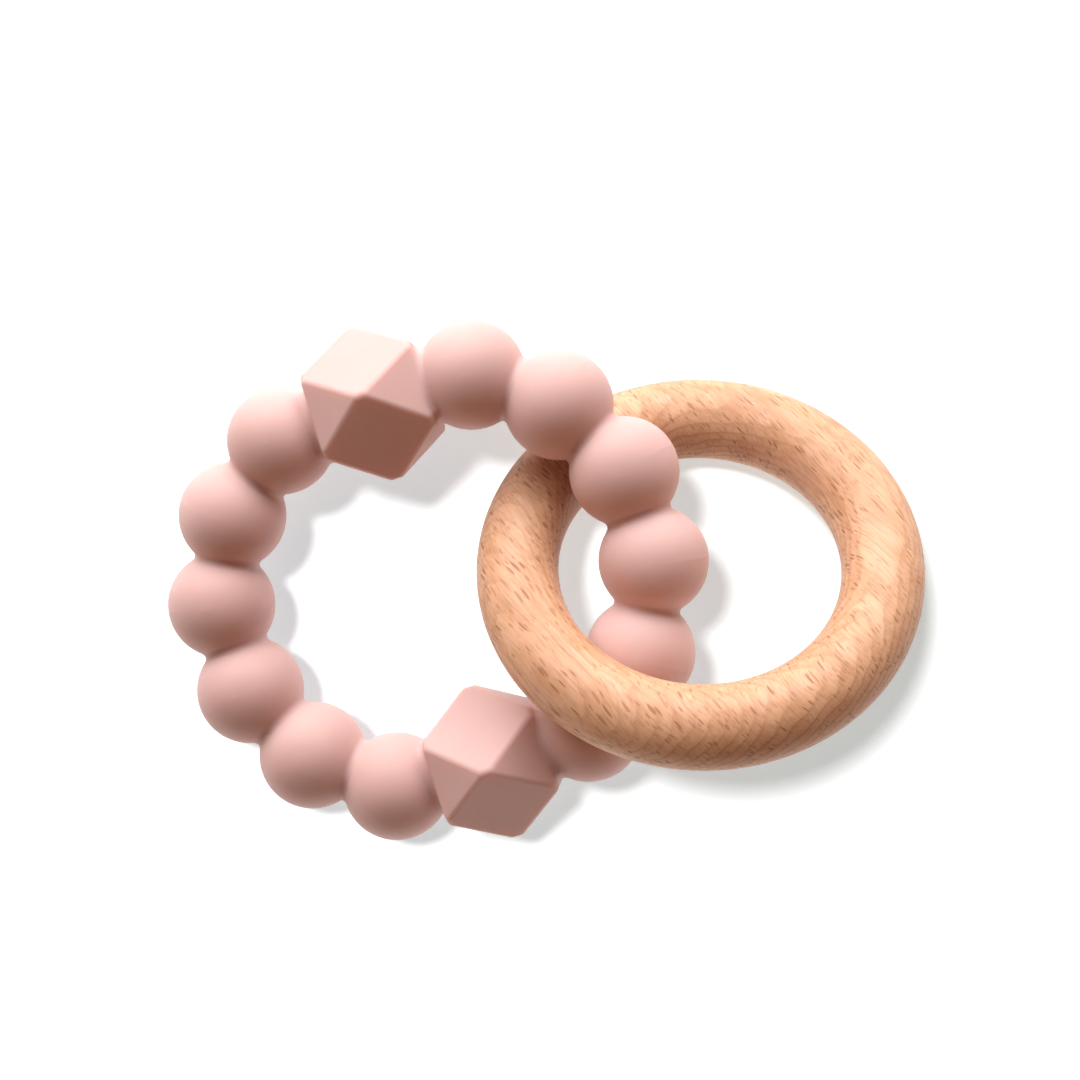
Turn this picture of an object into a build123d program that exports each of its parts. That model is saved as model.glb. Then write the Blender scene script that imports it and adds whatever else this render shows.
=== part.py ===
from build123d import *
import os
from math import asin, atan2, cos, degrees, radians, sin

# Teething ring: a soft moulded ring of lobes, linked with a turned beech ring.
# Millimetres, +Z up. The two rings lie linked on a level surface, as they come to rest: the beech
# ring's high side lies over the moulded ring, and its low side lies under it.
# The origin is the middle of the underside of the bounding box.

# Moulded ring. In its own plane the round lobes lie on two arcs, and a faceted lobe sits on the
# straight stretch between the arcs at each end.
LOBE_DIAMETER = 15.0
LOBES_PER_ARC = 6
LOBE_PITCH = 12.72  # centre to centre along an arc
ARC_RADIUS = 27.8  # through the lobe centres
ARC_OFFSET = 3.0  # each arc's centre stands this far out from the ring's centre
NECK_FILLET = 0.8  # hollow round each neck, between round lobes
FACET_SQUARE_REACH = 8.0  # a faceted lobe's centre to its six square faces
FACET_CORNER_REACH = 9.39  # and to the eight triangular faces that cut its corners
FACET_ROUND = 1.0  # radius of a faceted lobe's edges and corners
FACET_STAND_OUT = 0.65  # how far the faceted lobes stand out past the ends of the arcs
FACET_TURNS = ((-5, 6, 0), (-1, 6, 0))  # how the soft ring twists at each of them where it lies
FACET_NECK_FILLET = 0.9  # hollow where a round lobe meets a faceted one
NECK_ZONE = 0.6  # a neck's edge is centred within this share of the way to either lobe's centre

# Closure: the moulded ring is open at one neck until the beech ring is on it.
SEAM_GAP = 0.05
PIN_DIAMETER = 2.4
PIN_LENGTH = 9.0
PIN_HEAD_DIAMETER = 4.2
PIN_HEAD_LENGTH = 1.4
PIN_EDGE = 0.3

# Beech ring, a plain torus.
BEECH_RADIUS = 24.8  # to the middle of its section
BEECH_SECTION_RADIUS = 5.6

# How the two rings lie on the surface. Azimuths run from +X towards +Y.
STRAND_HEADING = 14.5  # azimuth of the moulded ring's long axis, before it is tilted
STRAND_TILT = 12.35  # it rests on two neighbouring lobes and rises across the ring from them
BEECH_TILT = 29.15  # about X, with its low side towards +Y
CENTRE_DISTANCE = 36.5  # along X, between the rings' centres

# Hinge on which the beech ring swings up through the moulded one. It is level.
SWING_AZIMUTH = 38.4
SWING_POINT = (36.5, 24.3, 9.9)  # from the point on the surface under the moulded ring's centre

LOBE_RADIUS = LOBE_DIAMETER / 2
PITCH_ANGLE = 2 * degrees(asin(LOBE_PITCH / 2 / ARC_RADIUS))
ARC_HALF_ANGLE = (LOBES_PER_ARC - 1) / 2 * PITCH_ANGLE


def arc_lobe_centres(side):
    """Centres of one arc's lobes in the ring's plane; side is 1 for the arc on +X, -1 for -X."""
    centres = []
    for i in range(LOBES_PER_ARC):
        angle = radians(ARC_HALF_ANGLE - i * PITCH_ANGLE)
        x = ARC_OFFSET + ARC_RADIUS * cos(angle)
        y = ARC_RADIUS * sin(angle)
        centres.append(Vector(side * x, side * y, 0))
    return centres


def faceted_lobe_centres():
    """Centres of the two faceted lobes, each midway between the ends of the two arcs."""
    y = ARC_RADIUS * sin(radians(ARC_HALF_ANGLE)) + FACET_STAND_OUT
    return [Vector(0, y, 0), Vector(0, -y, 0)]


def strand_placement():
    """Lays the moulded ring on the surface, resting on the two lobes opposite its highest neck."""
    # The low neck's lobes are one pitch angle on from the long axis, so the ring rises that way.
    to_low_lobes = ARC_RADIUS * cos(radians(PITCH_ANGLE / 2)) + ARC_OFFSET * cos(radians(PITCH_ANGLE))
    height = LOBE_RADIUS + to_low_lobes * sin(radians(STRAND_TILT))
    uphill = STRAND_HEADING + PITCH_ANGLE
    turn_to_uphill = Rot(0, 0, uphill)
    raise_uphill = Rot(0, -STRAND_TILT, 0)
    turn_long_axis = Rot(0, 0, STRAND_HEADING - uphill)
    return Pos(0, 0, height) * turn_to_uphill * raise_uphill * turn_long_axis


def beech_placement():
    """Lays the beech ring with its low side, towards +Y, on the surface."""
    height = BEECH_RADIUS * sin(radians(BEECH_TILT)) + BEECH_SECTION_RADIUS
    return Pos(CENTRE_DISTANCE, 0, height) * Rot(-BEECH_TILT, 0, 0)


def corner_cut_cube(square_reach, corner_reach):
    """A cube whose corners are cut off until its faces stand as near-squares on their points."""
    cube = Box(2 * square_reach, 2 * square_reach, 2 * square_reach)
    cut_size = 4 * square_reach
    for sx in (1, -1):
        for sy in (1, -1):
            for sz in (1, -1):
                outward = Vector(sx, sy, sz).normalized()
                plane = Plane(origin=outward * corner_reach, z_dir=outward)
                cube -= plane * Pos(0, 0, cut_size / 2) * Box(cut_size, cut_size, cut_size)
    return cube


def faceted_lobe():
    """A corner-cut cube with round edges: the strand leaves by its X faces, and an edge faces +Z."""
    core = corner_cut_cube(FACET_SQUARE_REACH - FACET_ROUND, FACET_CORNER_REACH - FACET_ROUND)
    return offset(Rot(45, 0, 0) * core, amount=FACET_ROUND, kind=Kind.ARC)


def neck_edges(solid, first, second):
    """The circular edges where two neighbouring lobes meet."""
    middle = (first + second) / 2
    zone = NECK_ZONE * (second - first).length / 2
    return [e for e in solid.edges() if (e.center(CenterOf.MASS) - middle).length < zone]


def neighbours(arcs, facets):
    """Pairs of neighbouring lobes: (round with round), (round with faceted)."""
    round_pairs = []
    for arc in arcs:
        round_pairs += list(zip(arc, arc[1:]))
    right, left = arcs
    upper, lower = facets
    facet_pairs = [(right[0], upper), (left[-1], upper), (right[-1], lower), (left[0], lower)]
    return round_pairs, facet_pairs


def closure_neck(arcs):
    """Where the moulded ring is closed: the neck between the last two lobes of the +X arc."""
    first, second = arcs[0][-2], arcs[0][-1]
    return Plane(origin=(first + second) / 2, z_dir=second - first)


def closure_pin(neck):
    """A pin with a round-edged head at each end, lying along the strand."""
    shank = Cylinder(PIN_DIAMETER / 2, PIN_LENGTH)
    head = Cylinder(PIN_HEAD_DIAMETER / 2, PIN_HEAD_LENGTH)
    head = fillet(head.edges().filter_by(GeomType.CIRCLE), PIN_EDGE)
    to_head = (PIN_LENGTH - PIN_HEAD_LENGTH) / 2
    return neck * (shank + Pos(0, 0, to_head) * head + Pos(0, 0, -to_head) * head)


def moulded_ring(arcs, facets, neck, pin):
    """The strand of lobes in its own plane, with its seam and the pocket that the pin fills."""
    ring = Part()
    for centre in arcs[0] + arcs[1]:
        # Each sphere's seam faces outwards, clear of the necks.
        outward = degrees(atan2(centre.Y, centre.X))
        ring += Pos(*centre) * Rot(0, 0, outward) * Sphere(LOBE_RADIUS)
    for centre, turn in zip(facets, FACET_TURNS):
        ring += Pos(*centre) * Rot(*turn) * faceted_lobe()
    round_pairs, facet_pairs = neighbours(arcs, facets)
    for pairs, radius in ((round_pairs, NECK_FILLET), (facet_pairs, FACET_NECK_FILLET)):
        edges = []
        for first, second in pairs:
            edges += neck_edges(ring, first, second)
        ring = fillet(edges, radius)
    seam = neck * Box(LOBE_DIAMETER, LOBE_DIAMETER, SEAM_GAP)
    return ring - seam - pin


arcs = [arc_lobe_centres(1), arc_lobe_centres(-1)]
facets = faceted_lobe_centres()
neck = closure_neck(arcs)
flat_pin = closure_pin(neck)
strand = strand_placement()
nodes = {
    "silicone_bead_ring": strand * moulded_ring(arcs, facets, neck, flat_pin),
    "closure_pin": strand * flat_pin,
    "wooden_ring": beech_placement() * Torus(BEECH_RADIUS, BEECH_SECTION_RADIUS),
}

box = Compound(children=[Compound(shape.solids()) for shape in nodes.values()]).bounding_box()
middle = box.center()
to_origin = Pos(-middle.X, -middle.Y, -box.min.Z)

os.makedirs("parts", exist_ok=True)
for name, shape in nodes.items():
    placed = to_origin * shape
    placed.label = name
    export_step(placed, f"parts/{name}.step")
    print(name, "volume", round(placed.volume, 2), "valid", placed.is_valid)

swing_point = Vector(*SWING_POINT) + Vector(-middle.X, -middle.Y, -box.min.Z)
print("size", box.size)
print("swing hinge through", swing_point)
print("swing hinge direction", Vector(cos(radians(SWING_AZIMUTH)), sin(radians(SWING_AZIMUTH)), 0))
print("moulded ring centre", (to_origin * strand).position)
print("beech ring centre", (to_origin * beech_placement()).position)
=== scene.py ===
"""Teething ring: a blush silicone ring of lobes linked with a beech ring, on a white floor."""
import math

import bpy
from mathutils import Matrix, Vector


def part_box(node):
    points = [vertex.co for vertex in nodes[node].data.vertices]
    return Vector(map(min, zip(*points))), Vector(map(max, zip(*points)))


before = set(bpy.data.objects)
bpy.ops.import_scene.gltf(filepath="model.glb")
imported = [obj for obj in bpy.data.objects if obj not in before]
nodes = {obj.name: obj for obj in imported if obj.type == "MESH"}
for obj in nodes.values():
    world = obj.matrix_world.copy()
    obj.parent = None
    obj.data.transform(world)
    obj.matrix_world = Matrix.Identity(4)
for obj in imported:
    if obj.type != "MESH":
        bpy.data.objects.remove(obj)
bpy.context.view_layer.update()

MM = 0.001

# ---------------------------------------------------------------- camera
# It looks almost straight down, from about 0.3 m, as one photographs a small thing on a table.
CAMERA_PLACE = Vector((3.2, -14.5, 297.0)) * MM
CAMERA_TARGET = Vector((0.4, 5.3, 10.0)) * MM
CAMERA_ROLL = math.radians(-3.35)
CAMERA_LENS = 68.4
CAMERA_SENSOR = 36.0
CAMERA_NEAR = 0.01
CAMERA_FAR = 20.0


def make_camera():
    data = bpy.data.cameras.new("camera")
    data.lens = CAMERA_LENS
    data.sensor_width = CAMERA_SENSOR
    data.clip_start = CAMERA_NEAR
    data.clip_end = CAMERA_FAR
    camera = bpy.data.objects.new("camera", data)
    bpy.context.scene.collection.objects.link(camera)
    back = (CAMERA_PLACE - CAMERA_TARGET).normalized()
    right = Vector((0, 1, 0)).cross(back).normalized()
    up = back.cross(right)
    axes = Matrix((right, up, back)).transposed()
    turned = axes @ Matrix.Rotation(CAMERA_ROLL, 3, "Z")
    camera.matrix_world = Matrix.Translation(CAMERA_PLACE) @ turned.to_4x4()
    bpy.context.scene.camera = camera


# ---------------------------------------------------------------- node helpers
class Tree:
    """A short way to build a material's nodes."""

    def __init__(self, name):
        self.material = bpy.data.materials.new(name)
        self.material.use_nodes = True
        self.nodes = self.material.node_tree.nodes
        self.links = self.material.node_tree.links
        self.shader = self.nodes["Principled BSDF"]

    def add(self, kind, inputs=None, **settings):
        node = self.nodes.new(kind)
        for key, value in settings.items():
            setattr(node, key, value)
        for key, value in (inputs or {}).items():
            self.put(node.inputs[key], value)
        return node

    def put(self, socket, value):
        if isinstance(value, bpy.types.NodeSocket):
            self.links.new(value, socket)
        else:
            socket.default_value = value

    def math(self, operation, a, b=0.0):
        return self.add("ShaderNodeMath", {0: a, 1: b}, operation=operation).outputs[0]

    def vector(self, operation, inputs):
        return self.add("ShaderNodeVectorMath", inputs, operation=operation)

    def smooth(self, value, low, high, out_low=0.0, out_high=1.0):
        """Out goes from out_low to out_high, smoothly, as value goes from low to high."""
        node = self.add(
            "ShaderNodeMapRange",
            {"Value": value, "From Min": low, "From Max": high, "To Min": out_low, "To Max": out_high},
            interpolation_type="SMOOTHSTEP",
        )
        return node.outputs["Result"]

    def mix(self, share, a, b):
        node = self.add("ShaderNodeMix", data_type="RGBA")
        self.put(node.inputs["Factor"], share)
        self.put(node.inputs["A"], a)
        self.put(node.inputs["B"], b)
        return node.outputs["Result"]

    def noise(self, vector, scale, detail=2.0, roughness=0.5):
        node = self.add(
            "ShaderNodeTexNoise",
            {"Vector": vector, "Scale": scale, "Detail": detail, "Roughness": roughness},
        )
        return node.outputs["Fac"]

    def bump(self, height, distance, strength):
        inputs = {"Height": height, "Distance": distance, "Strength": strength}
        return self.add("ShaderNodeBump", inputs).outputs["Normal"]

    def place(self, origin, turn):
        """Object coordinates from origin, in axes that stand turned by turn, in millimetres."""
        coords = self.add("ShaderNodeTexCoord").outputs["Object"]
        node = self.add(
            "ShaderNodeMapping",
            {"Vector": coords, "Location": origin, "Rotation": turn, "Scale": (MM, MM, MM)},
            vector_type="TEXTURE",
        )
        return node.outputs["Vector"]


def give(node_name, material):
    """Puts a material in every slot of a CAD node."""
    for slot in nodes[node_name].material_slots:
        slot.material = material


# ---------------------------------------------------------------- silicone
SILICONE_COLOUR = (0.71, 0.475, 0.45, 1.0)
SILICONE_DEEPER = (0.69, 0.455, 0.43, 1.0)
SILICONE_CLOUD = 0.06  # patches of deeper colour in a millimetre
SILICONE_SCATTER = (1.0, 0.45, 0.35)  # how far red, green and blue light goes in it, in shares
SILICONE_SCATTER_REACH = 3.0 * MM
SILICONE_SCATTER_WEIGHT = 0.5
SILICONE_IOR = 1.41
SILICONE_SPECULAR = 0.35
SILICONE_ROUGH = (0.52, 0.6)  # least and most
SILICONE_ROUGH_PATCHES = 0.5  # in a millimetre
SILICONE_GRAIN = 9.0  # grains in a millimetre
SILICONE_GRAIN_DEPTH = 0.01 * MM
SILICONE_GRAIN_STRENGTH = 0.5


def silicone_material():
    tree = Tree("silicone_blush")
    shader = tree.shader
    coords = tree.place((0, 0, 0), (0, 0, 0))
    cloud = tree.noise(coords, SILICONE_CLOUD)
    colour = tree.mix(tree.smooth(cloud, 0.35, 0.65), SILICONE_COLOUR, SILICONE_DEEPER)
    tree.put(shader.inputs["Base Color"], colour)
    shader.inputs["Subsurface Weight"].default_value = SILICONE_SCATTER_WEIGHT
    shader.inputs["Subsurface Radius"].default_value = SILICONE_SCATTER
    shader.inputs["Subsurface Scale"].default_value = SILICONE_SCATTER_REACH
    shader.inputs["IOR"].default_value = SILICONE_IOR
    shader.inputs["Specular IOR Level"].default_value = SILICONE_SPECULAR
    # A moulded surface: a very fine, soft texture, and slow unevenness in how matte it is.
    grain = tree.noise(coords, SILICONE_GRAIN, detail=3.0, roughness=0.6)
    patches = tree.noise(coords, SILICONE_ROUGH_PATCHES, detail=3.0)
    tree.put(shader.inputs["Roughness"], tree.smooth(patches, 0.3, 0.7, *SILICONE_ROUGH))
    tree.put(shader.inputs["Normal"], tree.bump(grain, SILICONE_GRAIN_DEPTH, SILICONE_GRAIN_STRENGTH))
    return tree.material


# ---------------------------------------------------------------- beech
BEECH_TILT = math.radians(29.15)  # of the ring as it lies
BEECH_FIBRE = math.radians(-57.0)  # from +X, in the ring's plane
PITH_BELOW = 60.0  # mm from the ring's middle to the tree's middle, down the ring's axis
PITH_ASIDE = 25.0  # and across the fibres
YEAR = 1.0  # mm of growth in a year
YEAR_UNEVEN = 0.9  # mm by which a growth layer wanders
WAVER = 5.0  # mm by which the fibres wander, slowly
WAVER_SCALE = 0.05

# Sizes of waves and cells in mm: along the fibres, round the pith and out from it.
STREAK_SIZE = (6.0, 0.22, 0.6)
MOTTLE_SIZE = (9.0, 2.6, 2.6)
BLUSH_SIZE = (6.0, 1.4, 1.4)
LARGE_FLECK_SIZE = (3.6, 0.42, 1.2)
SMALL_FLECK_SIZE = (1.9, 0.3, 1.2)

BEECH_LIGHT = (0.80, 0.48, 0.30, 1.0)
BEECH_WARM = (0.67, 0.36, 0.205, 1.0)
BEECH_PINK = (0.80, 0.475, 0.335, 1.0)
BEECH_DARK = (0.34, 0.14, 0.065, 1.0)
BEECH_END = (0.50, 0.245, 0.13, 1.0)
BEECH_IOR = 1.5
BEECH_SPECULAR = 0.35
BEECH_ROUGH = (0.42, 0.55)  # least and most
BEECH_RELIEF = 0.03 * MM
BEECH_RELIEF_STRENGTH = 0.6


def beech_axes():
    """The beech ring's middle, and the turn to its wood's axes: X along the fibres, Z up its axis."""
    low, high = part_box("wooden_ring")
    centre = (Vector(low) + Vector(high)) / 2
    turn = Matrix.Rotation(-BEECH_TILT, 3, "X") @ Matrix.Rotation(BEECH_FIBRE, 3, "Z")
    return centre, turn


def wavering(tree, wood):
    """The point moved by a slow waver, so that no fibre or growth layer runs dead straight."""
    waver = tree.add("ShaderNodeTexNoise", {"Vector": wood, "Scale": WAVER_SCALE, "Detail": 2.0})
    middle = tree.vector("SUBTRACT", {0: waver.outputs["Color"], 1: (0.5, 0.5, 0.5)}).outputs[0]
    shift = tree.vector("SCALE", {0: middle, "Scale": WAVER}).outputs[0]
    return tree.vector("ADD", {0: wood, 1: shift}).outputs[0]


def trunk_place(tree, point):
    """Where a point is in the tree: along the fibres, round the pith and out from it."""
    axes = tree.add("ShaderNodeSeparateXYZ", {0: point})
    along, side, up = axes.outputs
    rise = tree.math("ADD", up, PITH_BELOW)
    aside = tree.math("SUBTRACT", side, PITH_ASIDE)
    squares = tree.math("ADD", tree.math("POWER", rise, 2.0), tree.math("POWER", aside, 2.0))
    around = tree.math("MULTIPLY", tree.math("ARCTAN2", aside, rise), PITH_BELOW)
    return along, around, tree.math("SQRT", squares)


def stretched(tree, place, sizes):
    """A place in the tree, scaled so that a cell or a wave has these sizes in mm."""
    scaled = {i: tree.math("DIVIDE", part, size) for i, (part, size) in enumerate(zip(place, sizes))}
    return tree.add("ShaderNodeCombineXYZ", scaled).outputs[0]


def growth_layers(tree, point, radius):
    """Each year's wood darkens slowly outwards, and ends in a thin, darker line."""
    uneven = tree.noise(point, 0.35, detail=3.0)
    layer = tree.math("ADD", radius, tree.math("MULTIPLY", uneven, YEAR_UNEVEN))
    year = tree.math("FRACT", tree.math("DIVIDE", layer, YEAR))
    latewood = tree.smooth(year, 0.3, 0.9)
    line = tree.math("MULTIPLY", tree.smooth(year, 0.62, 0.9), tree.smooth(year, 1.0, 0.92))
    return latewood, line


def ray_flecks(tree, point, reach, share):
    """Beech's rays, thin sheets cut as short dashes: from 0 to 1, in a share of the point's cells."""
    cells = tree.add("ShaderNodeTexVoronoi", {"Vector": point, "Scale": 1.0, "Randomness": 1.0})
    luck = tree.add("ShaderNodeSeparateColor", {0: cells.outputs["Color"]})
    body = tree.smooth(cells.outputs["Distance"], reach, reach * 0.6)
    chosen = tree.smooth(luck.outputs[0], 1.0 - share, 1.0 - share * 0.8)
    strength = tree.smooth(luck.outputs[1], 0.0, 1.0, 0.45, 1.0)
    return tree.math("MULTIPLY", tree.math("MULTIPLY", body, chosen), strength)


def end_grain_share(tree, fibre):
    """From 0 to 1 as the surface turns to face along the fibres."""
    normal = tree.add("ShaderNodeTexCoord").outputs["Normal"]
    facing = tree.vector("DOT_PRODUCT", {0: normal, 1: tuple(fibre)}).outputs["Value"]
    return tree.smooth(tree.math("ABSOLUTE", facing), 0.4, 0.95)


def beech_material():
    tree = Tree("beech_oiled")
    shader = tree.shader
    centre, turn = beech_axes()
    point = wavering(tree, tree.place(centre, turn.to_euler()))
    place = trunk_place(tree, point)
    latewood, line = growth_layers(tree, point, place[2])
    streak = tree.noise(stretched(tree, place, STREAK_SIZE), 1.0, 3.0, 0.65)
    mottle = tree.noise(stretched(tree, place, MOTTLE_SIZE), 1.0, 3.0, 0.6)
    blush = tree.noise(stretched(tree, place, BLUSH_SIZE), 1.0, 2.0, 0.5)
    large = ray_flecks(tree, stretched(tree, place, LARGE_FLECK_SIZE), 0.38, 0.5)
    small = ray_flecks(tree, stretched(tree, place, SMALL_FLECK_SIZE), 0.36, 0.4)
    flecks = tree.math("MAXIMUM", large, tree.math("MULTIPLY", small, 0.7))
    end_grain = end_grain_share(tree, turn @ Vector((1, 0, 0)))
    line_share = tree.math("ADD", tree.math("MULTIPLY", end_grain, 0.5), 0.1)

    colour = tree.mix(tree.smooth(mottle, 0.28, 0.72), BEECH_LIGHT, BEECH_WARM)
    colour = tree.mix(tree.smooth(blush, 0.45, 0.8, 0.0, 0.5), colour, BEECH_PINK)
    colour = tree.mix(tree.math("MULTIPLY", latewood, 0.22), colour, BEECH_END)
    colour = tree.mix(tree.math("MULTIPLY", line, line_share), colour, BEECH_DARK)
    colour = tree.mix(tree.smooth(streak, 0.4, 0.8, 0.0, 0.5), colour, BEECH_DARK)
    colour = tree.mix(tree.math("MULTIPLY", end_grain, 0.5), colour, BEECH_END)
    colour = tree.mix(tree.math("MULTIPLY", flecks, 0.8), colour, BEECH_DARK)
    tree.put(shader.inputs["Base Color"], colour)

    rough = tree.smooth(streak, 0.3, 0.8, *BEECH_ROUGH)
    rough = tree.math("ADD", rough, tree.math("MULTIPLY", flecks, 0.1))
    tree.put(shader.inputs["Roughness"], rough)
    shader.inputs["IOR"].default_value = BEECH_IOR
    shader.inputs["Specular IOR Level"].default_value = BEECH_SPECULAR
    relief = tree.math("SUBTRACT", tree.math("MULTIPLY", streak, 0.3), flecks)
    tree.put(shader.inputs["Normal"], tree.bump(relief, BEECH_RELIEF, BEECH_RELIEF_STRENGTH))
    return tree.material


# ---------------------------------------------------------------- closure pin
PIN_LIGHT = (0.84, 0.80, 0.72, 1)
PIN_DEEPER = (0.80, 0.75, 0.66, 1)
PIN_ROUGH = (0.4, 0.5)  # least and most


def pin_material():
    tree = Tree("pin_nylon")
    coords = tree.place((0, 0, 0), (0, 0, 0))
    haze = tree.noise(coords, 2.0, detail=3.0)
    tree.put(tree.shader.inputs["Base Color"], tree.mix(haze, PIN_LIGHT, PIN_DEEPER))
    tree.put(tree.shader.inputs["Roughness"], tree.smooth(haze, 0.3, 0.7, *PIN_ROUGH))
    return tree.material


# ---------------------------------------------------------------- floor and backdrop
FLOOR_HALF = 3.0
FLOOR_DROP = 0.02 * MM
FLOOR_COLOUR = (0.9, 0.9, 0.9, 1)
FLOOR_GLOW = (0.31, 0.425, 0.46, 1)  # keeps the shadows on the floor pale and plain grey
WALL_RADIUS = 2.9
WALL_HALF_HEIGHT = 3.0
WALL_SIDES = 64


def white_material(name, colour, glow):
    """A dull white without a highlight, for what isn't part of the object."""
    tree = Tree(name)
    tree.shader.inputs["Base Color"].default_value = colour
    tree.shader.inputs["Roughness"].default_value = 0.9
    tree.shader.inputs["Specular IOR Level"].default_value = 0.0
    tree.shader.inputs["Emission Color"].default_value = glow
    tree.shader.inputs["Emission Strength"].default_value = 1.0
    return tree.material


def staged(name, points, faces, material):
    """A mesh object that stands round the object without being part of it."""
    mesh = bpy.data.meshes.new(name)
    mesh.from_pydata(points, [], faces)
    mesh.materials.append(material)
    thing = bpy.data.objects.new(name, mesh)
    bpy.context.scene.collection.objects.link(thing)
    return thing


def make_floor():
    corners = [(-1, -1), (1, -1), (1, 1), (-1, 1)]
    points = [(x * FLOOR_HALF, y * FLOOR_HALF, -FLOOR_DROP) for x, y in corners]
    return staged("floor", points, [(0, 1, 2, 3)], white_material("floor_white", FLOOR_COLOUR, FLOOR_GLOW))


def make_backdrop():
    """A pale wall round the floor. Only the camera sees it, so it changes nothing in the light."""
    points = []
    for z in (-WALL_HALF_HEIGHT, WALL_HALF_HEIGHT):
        for i in range(WALL_SIDES):
            angle = 2 * math.pi * i / WALL_SIDES
            points.append((WALL_RADIUS * math.cos(angle), WALL_RADIUS * math.sin(angle), z))
    faces = []
    for i in range(WALL_SIDES):
        j = (i + 1) % WALL_SIDES
        faces.append((i, j, WALL_SIDES + j, WALL_SIDES + i))
    wall = staged("backdrop", points, faces, white_material("backdrop_white", (0, 0, 0, 1), (1, 1, 1, 1)))
    wall.visible_diffuse = False
    wall.visible_glossy = False
    wall.visible_transmission = False
    wall.visible_volume_scatter = False
    wall.visible_shadow = False


# ---------------------------------------------------------------- lights and world
WINDOW_PLACE = (-0.08, 0.85, 0.5)
WINDOW_WIDTH = 1.6
WINDOW_HEIGHT = 0.75
WINDOW_POWER = 22.8
LAMP_PLACE = (-0.23, 0.18, 1.0)
LAMP_STRENGTH = 2.45
LAMP_ANGLE = math.radians(9)  # the larger it looks from the floor, the softer the shadows
WORLD_LEVEL = (0.53, 0.27, 0.135, 1)
WORLD_UP = (0.02, 0.012, 0.008, 1)


def aim(light, place):
    """Puts a light at a place, facing the middle of the floor."""
    bpy.context.scene.collection.objects.link(light)
    light.location = place
    light.rotation_euler = Vector(place).to_track_quat("Z", "Y").to_euler()


def linked(name, floor, state):
    """A collection that limits a light to the floor, or to everything but the floor."""
    group = bpy.data.collections.new(name)
    group.objects.link(floor)
    group.collection_objects[0].light_linking.link_state = state
    return group


def make_window(floor):
    """The main light: a wide, low window beyond the rings, which leaves no long shadows on the floor."""
    data = bpy.data.lights.new("window", "AREA")
    data.shape = "RECTANGLE"
    data.size = WINDOW_WIDTH
    data.size_y = WINDOW_HEIGHT
    data.energy = WINDOW_POWER
    light = bpy.data.objects.new("window", data)
    aim(light, WINDOW_PLACE)
    light.light_linking.receiver_collection = linked("all_but_floor", floor, "EXCLUDE")


def make_floor_lamp(floor):
    """Lights the floor alone, from above, left and beyond, for a small soft shadow."""
    data = bpy.data.lights.new("floor_lamp", "SUN")
    data.energy = LAMP_STRENGTH
    data.angle = LAMP_ANGLE
    light = bpy.data.objects.new("floor_lamp", data)
    aim(light, LAMP_PLACE)
    light.light_linking.receiver_collection = linked("floor_only", floor, "INCLUDE")


def make_world():
    """Soft light from all round, whose colour and strength change from level to straight up."""
    world = bpy.data.worlds.new("world")
    bpy.context.scene.world = world
    world.use_nodes = True
    tree = world.node_tree
    back = tree.nodes["Background"]
    coords = tree.nodes.new("ShaderNodeTexCoord")
    parts = tree.nodes.new("ShaderNodeSeparateXYZ")
    ramp = tree.nodes.new("ShaderNodeMix")
    ramp.data_type = "RGBA"
    tree.links.new(coords.outputs["Generated"], parts.inputs[0])
    tree.links.new(parts.outputs[2], ramp.inputs["Factor"])
    ramp.inputs["A"].default_value = WORLD_LEVEL
    ramp.inputs["B"].default_value = WORLD_UP
    tree.links.new(ramp.outputs["Result"], back.inputs["Color"])
    back.inputs["Strength"].default_value = 1.0


# ---------------------------------------------------------------- the scene
make_camera()
give("silicone_bead_ring", silicone_material())
give("wooden_ring", beech_material())
give("closure_pin", pin_material())
floor = make_floor()
make_backdrop()
make_window(floor)
make_floor_lamp(floor)
make_world()
bpy.context.scene.view_settings.view_transform = "Standard"
